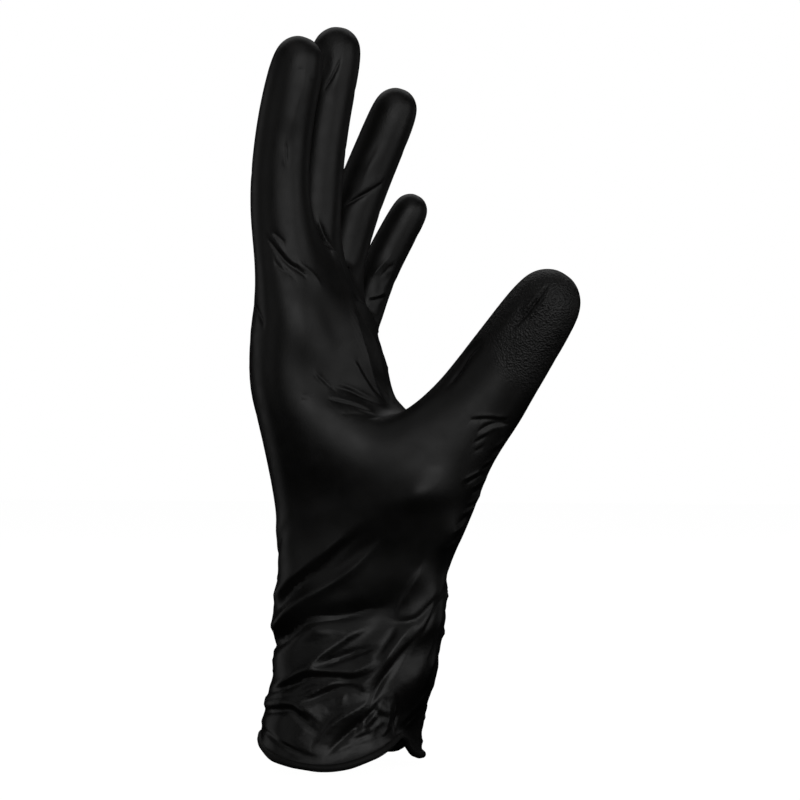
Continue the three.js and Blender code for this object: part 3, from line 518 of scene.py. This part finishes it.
def press(flat, unit, folds):
    """How far each point is moved out by some folds, in mm; unit is a millimetre of the view."""
    shift = np.zeros(len(flat))
    for height, left, right, sharp, points in folds:
        line = rounded(points)
        reach = FADED * max(left, right) * unit
        close = ((flat > line.min(0) - reach) & (flat < line.max(0) + reach)).all(1)
        ids = np.nonzero(close)[0]
        here = flat[ids]
        best = np.full(len(ids), np.inf)
        side = np.zeros(len(ids))
        along = np.zeros(len(ids))
        walked = 0.0
        for a, b in zip(line, line[1:]):
            step = b - a
            length = np.hypot(*step)
            share = np.clip((here - a) @ step / length**2, 0, 1)
            gap = here - a - share[:, None] * step
            away = np.hypot(gap[:, 0], gap[:, 1])
            near = away < best
            best[near] = away[near]
            side[near] = (step[0] * gap[:, 1] - step[1] * gap[:, 0])[near]
            along[near] = walked + share[near] * length
            walked += length
        taper = smoothstep(0, TAPER * walked, np.minimum(along, walked - along))
        width = np.where(side > 0, right, left) * unit * (END_WIDTH + (1 - END_WIDTH) * taper)
        shift[ids] += height * taper * np.exp(-((best / width) ** sharp))
    return shift


def in_photo(points):
    """Where the photograph shows some points, in its pixels."""
    offset = points - VIEW_CENTRE
    scale = VIEW_DISTANCE / (VIEW_DISTANCE - offset @ TOWARD) / PIXEL
    return np.stack([offset @ SIDEWAYS * scale, -offset[:, 2] * scale], 1) + CENTRE_PIXEL


def swells(flat):
    """How far the soft swells move each point out, in mm."""
    shift = np.zeros(len(flat))
    for height, middle, reach, width, turn in SWELLS:
        offset = flat - np.array(middle)
        c, s = math.cos(math.radians(turn)), math.sin(math.radians(turn))
        along = offset @ np.array((c, s)) / reach
        across = offset @ np.array((-s, c)) / width
        shift += height * np.exp(-(along**2) - across**2)
    return shift


def uncovered(film, ways, tree):
    """How much each point faces a view with nothing in front of it, from 0 to 1.

    It reaches a little past the outline and fades there, so that no fold ends in a step.
    """
    facing = (film.normals * ways).sum(1)
    seen = np.zeros(len(facing))
    for i in np.nonzero(facing > 0.02)[0]:
        start = Vector(film.points[i] + film.normals[i] * 0.5 * MM)
        seen[i] = tree.ray_cast(start, Vector(ways[i]))[0] is None
    for _ in range(GROW_ROUNDS):
        seen = np.maximum(seen, film.spread(seen))
    for _ in range(FADE_ROUNDS):
        seen = (seen + film.spread(seen)) / 2
    return seen * smoothstep(-0.3, 0.25, facing)


def crumpled(film, seen):
    """Gathers all round the wrist and cuff, in mm, lower where the photograph's own are drawn.

    Each is the ridge where a noise crosses zero. The noise is longer round the wrist than up it,
    with the sizes of its waves below in mm, and a slow sway keeps the ridges from lying level.
    """
    z = film.points[:, 2] / MM
    mask = smoothstep(84, 52, z) * (1 - 0.85 * seen) + 0.1 * (1 - seen)
    low = smoothstep(46, 10, z)
    shift = np.zeros(len(z))
    for i in np.nonzero(mask > 0.01)[0]:
        x, y, up = film.points[i] / MM
        sway = noise.noise((x / 26, y / 26, up / 26 + 7)) * 5
        big = noise.noise((x / 15, y / 15, (up + sway) / 6.5))
        small = noise.noise((x / 8 + 9, y / 8, (up - sway) / 4.2))
        fine = noise.noise((x / 3.4, y / 3.4 + 5, up / 2.6))
        ridges = 0.95 * (0.24 - abs(big)) + 0.55 * (0.22 - abs(small))
        gather = 1.5 * ridges * (0.35 + 0.65 * low[i])
        shift[i] = mask[i] * (gather + 0.3 * low[i] * (0.2 - abs(fine)))
    return shift


def dressed(piece, tree):
    """Presses every fold into a skin and keeps what its material needs as attributes."""
    film = Film(piece)
    eye_ways = EYE - film.points
    eye_ways /= np.linalg.norm(eye_ways, axis=1)[:, None]
    seen = uncovered(film, eye_ways, tree)
    flat = in_photo(film.points)
    unit = MM / PIXEL
    shift = seen * press(flat, unit, HAND_FOLDS + WRIST_FOLDS + CUFF_FOLDS)
    shift += seen * swells(flat)
    for out, across, folds in STRAIGHT_VIEWS:
        ways = np.tile(np.array(out, float), (len(film.points), 1))
        share = uncovered(film, ways, tree) * (1 - seen)
        side = np.stack([film.points @ np.array(across, float), film.points[:, 2]], 1) / MM
        shift += share * press(side, 1, folds)
    shift += crumpled(film, seen)
    shift *= smoothstep(-5, 6, film.points[:, 2] / MM) * (1 - MOUTH_SHARE) + MOUTH_SHARE
    corner = np.exp(-(((flat[:, 0] - FAR_LIP_PIXEL) / FAR_LIP_REACH) ** 2))
    corner *= smoothstep(FAR_LIP_HIGH, FAR_LIP_LOW, film.points[:, 2])
    film.points[:, 2] += FAR_LIP * corner
    film.points += film.normals * (shift * MM)[:, None]
    shown = (seen > 0.5)[:, None]
    for _ in range(SOFTEN_ROUNDS):
        film.points += SOFTEN_STEP * (film.spread(film.points) - film.points) * shown
    film.write()
    grip = smoothstep(THUMB_GRIP_FROM, THUMB_GRIP_FULL, (flat - THUMB_ROOT) @ THUMB_WAY)
    grip *= smoothstep(THUMB_LEFT, THUMB_LEFT_FULL, flat[:, 0])
    for tip in FINGERTIPS:
        away = np.linalg.norm(film.points / MM - tip, axis=1)
        grip = np.maximum(grip, TIP_GRIP * smoothstep(TIP_GRIP_REACH, TIP_GRIP_FULL, away))
    keep_attribute(piece, "grip", grip)
    keep_attribute(piece, "crumple", smoothstep(62, 22, film.points[:, 2] / MM))
    return film


def keep_attribute(piece, name, values):
    """Stores a value at each point, for the material to read."""
    layer = piece.data.attributes.new(name, "FLOAT", "POINT")
    layer.data.foreach_set("value", values.astype(np.float32))


def mouth_loop(film):
    """The points along the film's edge, in order, every other one."""
    links = {}
    for a, b in film.border:
        links.setdefault(a, []).append(b)
        links.setdefault(b, []).append(a)
    start = film.border[0][0]
    loop = [start, links[start][0]]
    while loop[-1] != start:
        a, b = links[loop[-1]]
        loop.append(a if a != loop[-2] else b)
    return loop[:-1][::2]


def bead(film):
    """The rolled edge: a slightly uneven tube along the mouth."""
    loop = mouth_loop(film)
    centre = film.points[loop]
    out = film.normals[loop] * np.array((1, 1, 0))
    out /= np.linalg.norm(out, axis=1)[:, None]
    for _ in range(3):
        out = (np.roll(out, 1, 0) + out + np.roll(out, -1, 0)) / 3
    centre = (np.roll(centre, 1, 0) + 2 * centre + np.roll(centre, -1, 0)) / 4
    bm = bmesh.new()
    rings = []
    for i, (c, o) in enumerate(zip(centre, out)):
        ahead = centre[(i + 1) % len(loop)] - centre[i - 1]
        ahead /= np.linalg.norm(ahead)
        o = o - ahead * (o @ ahead)
        o /= np.linalg.norm(o)
        down = np.cross(ahead, o)
        if down[2] > 0:
            down = -down
        size = BEAD_RADIUS * (1 + BEAD_UNEVEN * noise.noise(Vector(c / BEAD_WAVE)))
        ring = []
        for k in range(BEAD_SIDES):
            turn = 2 * math.pi * k / BEAD_SIDES
            spoke = math.cos(turn) * o + (math.sin(turn) + BEAD_DROP) * down
            ring.append(bm.verts.new(c - o * BEAD_INSET + size * spoke))
        rings.append(ring)
    for ring, after in zip(rings, rings[1:] + rings[:1]):
        for k in range(BEAD_SIDES):
            m = (k + 1) % BEAD_SIDES
            bm.faces.new((ring[k], ring[m], after[m], after[k]))
    bmesh.ops.recalc_face_normals(bm, faces=bm.faces)
    return to_object(bm, "rolled_bead")


# The three pieces
outer = to_object(outer_skin(), "outer_skin")
smoothed(outer, 1)
Film(outer).ironed(IRON_ROUNDS)
plain = BVHTree.FromObject(outer, bpy.context.evaluated_depsgraph_get())
inner = outer.copy()
inner.data = outer.data.copy()
inner.name = "inner_skin"
bpy.context.scene.collection.objects.link(inner)
smoothed(outer, 1)
refined(outer, gathered)
refined(outer, creased)
film = dressed(outer, plain)
lining = dressed(inner, plain)
lining.points -= lining.normals * FILM_THICKNESS
lining.write()
inner.data.flip_normals()
roll = bead(film)

# The materials
GRAIN_DEPTH = 0.04 * MM
WRINKLE_DEPTH = 0.9 * MM
PEBBLE_DEPTH = 0.26 * MM
PEBBLES = 1700.0  # to the metre
GATHER_GLOSS = 0.07  # how much less rough the film is where it is gathered,
GRIP_GLOSS = 0.06  # and where it is pebbled


def node_tree(name):
    """A new material and its nodes."""
    material = bpy.data.materials.new(name)
    material.use_nodes = True
    return material, material.node_tree


def satin(name, dark, pale, rough, specular, crumple):
    """Black nitrile: a deep satin colour with faint mottling, pebbled where it grips.

    A texture's scale is the number of its waves to the metre.
    """
    material, tree = node_tree(name)
    nodes, links = tree.nodes, tree.links
    shader = nodes["Principled BSDF"]
    shader.inputs["Specular IOR Level"].default_value = specular

    def add(kind, **settings):
        node = nodes.new(kind)
        for key, value in settings.items():
            if key.startswith("in_"):
                node.inputs[key[3:].replace("_", " ")].default_value = value
            else:
                setattr(node, key, value)
        return node

    place = add("ShaderNodeTexCoord").outputs["Object"]

    def texture(scale, detail=2.0, stretch=(1, 1, 1)):
        mapping = add("ShaderNodeMapping", in_Scale=stretch)
        made = add("ShaderNodeTexNoise", in_Scale=scale, in_Detail=detail)
        links.new(place, mapping.inputs["Vector"])
        links.new(mapping.outputs["Vector"], made.inputs["Vector"])
        return made.outputs["Fac"]

    def ranged(source, low, high, to_low, to_high):
        node = add("ShaderNodeMapRange", in_From_Min=low, in_From_Max=high)
        node.inputs["To Min"].default_value = to_low
        node.inputs["To Max"].default_value = to_high
        links.new(source, node.inputs["Value"])
        return node.outputs["Result"]

    def maths(operation, a, b):
        node = add("ShaderNodeMath", operation=operation)
        for socket, value in zip(node.inputs, (a, b)):
            if isinstance(value, (int, float)):
                socket.default_value = value
            else:
                links.new(value, socket)
        return node.outputs[0]

    ramp = add("ShaderNodeValToRGB")
    ramp.color_ramp.elements[0].color = (*dark, 1)
    ramp.color_ramp.elements[1].color = (*pale, 1)
    links.new(ranged(texture(70, 4), 0.35, 0.65, 0, 1), ramp.inputs["Fac"])
    links.new(ramp.outputs["Color"], shader.inputs["Base Color"])

    grip = add("ShaderNodeAttribute", attribute_name="grip").outputs["Fac"]
    gather = add("ShaderNodeAttribute", attribute_name="crumple").outputs["Fac"]
    mottle = ranged(texture(240, 5), 0.3, 0.7, rough - 0.05, rough + 0.05)
    drawn = maths("SUBTRACT", mottle, maths("MULTIPLY", gather, GATHER_GLOSS))
    roughness = maths("SUBTRACT", drawn, maths("MULTIPLY", grip, GRIP_GLOSS))
    links.new(roughness, shader.inputs["Roughness"])

    def bump(height, strength, distance, before=None):
        node = add("ShaderNodeBump", in_Distance=distance)
        if isinstance(strength, float):
            node.inputs["Strength"].default_value = strength
        else:
            links.new(strength, node.inputs["Strength"])
        links.new(height, node.inputs["Height"])
        if before:
            links.new(before, node.inputs["Normal"])
        return node.outputs["Normal"]

    skin = bump(texture(1100, 3), 0.25, GRAIN_DEPTH)
    wrinkles = maths("ABSOLUTE", maths("SUBTRACT", texture(130, 2, (1, 1, 1.7)), 0.5), 0)
    skin = bump(wrinkles, maths("MULTIPLY", gather, crumple), WRINKLE_DEPTH, skin)
    cells = add("ShaderNodeTexVoronoi", in_Scale=PEBBLES)
    links.new(place, cells.inputs["Vector"])
    skin = bump(cells.outputs["Distance"], maths("MULTIPLY", grip, 0.95), PEBBLE_DEPTH, skin)
    links.new(skin, shader.inputs["Normal"])
    return material


film_look = satin(
    "film",
    dark=(0.0062, 0.0062, 0.0058),
    pale=(0.0098, 0.0094, 0.0091),
    rough=0.43,
    specular=0.5,
    crumple=0.25,
)
bead_look = satin(
    "bead",
    dark=(0.013, 0.013, 0.0126),
    pale=(0.018, 0.0176, 0.0172),
    rough=0.55,
    specular=0.15,
    crumple=0.0,
)
for piece, look in ((outer, film_look), (inner, film_look), (roll, bead_look)):
    piece.data.materials.clear()
    piece.data.materials.append(look)
    piece.data.shade_smooth()
    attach(piece, "root")
    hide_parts(NODE)

# The studio


def panel(name, azimuth, elevation, distance, size, radiance):
    """A soft box seen from the glove at a turn from the camera, with an even brightness."""
    turn = VIEW_AZIMUTH + math.radians(azimuth)
    lift = math.radians(elevation)
    level = math.cos(lift)
    way = Vector((math.sin(turn) * level, -math.cos(turn) * level, math.sin(lift)))
    light = bpy.data.lights.new(name, "AREA")
    light.shape = "RECTANGLE"
    light.size, light.size_y = size
    light.energy = radiance * math.pi * size[0] * size[1]
    lamp = bpy.data.objects.new(name, light)
    lamp.location = Vector(VIEW_CENTRE) + way * distance
    lamp.rotation_euler = way.to_track_quat("Z", "Y").to_euler()
    lamp.visible_camera = False
    bpy.context.scene.collection.objects.link(lamp)


def place_camera():
    """The photograph's view, shifted so that the glove lies where the photograph has it."""
    scene = bpy.context.scene
    camera = bpy.data.objects.new("camera", bpy.data.cameras.new("camera"))
    scene.collection.objects.link(camera)
    scene.camera = camera
    camera.location = EYE
    camera.rotation_euler = (math.pi / 2, 0, VIEW_AZIMUTH)
    camera.data.sensor_width = SENSOR
    camera.data.lens = SENSOR * VIEW_DISTANCE / (IMAGE * PIXEL)
    camera.data.shift_x = (IMAGE / 2 - CENTRE_PIXEL[0]) / IMAGE
    camera.data.shift_y = (CENTRE_PIXEL[1] - IMAGE / 2) / IMAGE
    scene.view_settings.view_transform = "Standard"


def light_studio():
    """A white surround that only the camera sees, and the soft boxes that light the glove."""
    world = bpy.data.worlds.new("studio")
    bpy.context.scene.world = world
    world.use_nodes = True
    background = world.node_tree.nodes["Background"]
    background.inputs["Color"].default_value = (1, 1, 1, 1)
    background.inputs["Strength"].default_value = 1.0
    world.cycles_visibility.glossy = False
    world.cycles_visibility.diffuse = False
    for box in SOFT_BOXES:
        panel(*box)


def lay_floor():
    """A plain pale floor that the glove neither mirrors nor is lit by."""
    bm = bmesh.new()
    bmesh.ops.create_grid(bm, x_segments=1, y_segments=1, size=FLOOR_REACH)
    floor = to_object(bm, "floor")
    floor.location.z = FLOOR_LEVEL
    material, tree = node_tree("floor")
    shader = tree.nodes["Principled BSDF"]
    shader.inputs["Base Color"].default_value = (0.12, 0.12, 0.12, 1)
    shader.inputs["Roughness"].default_value = 1
    shader.inputs["Emission Color"].default_value = (1, 1, 1, 1)
    shader.inputs["Emission Strength"].default_value = 0.99
    floor.data.materials.append(material)
    floor.visible_glossy = False
    floor.visible_diffuse = False


place_camera()
light_studio()
lay_floor()
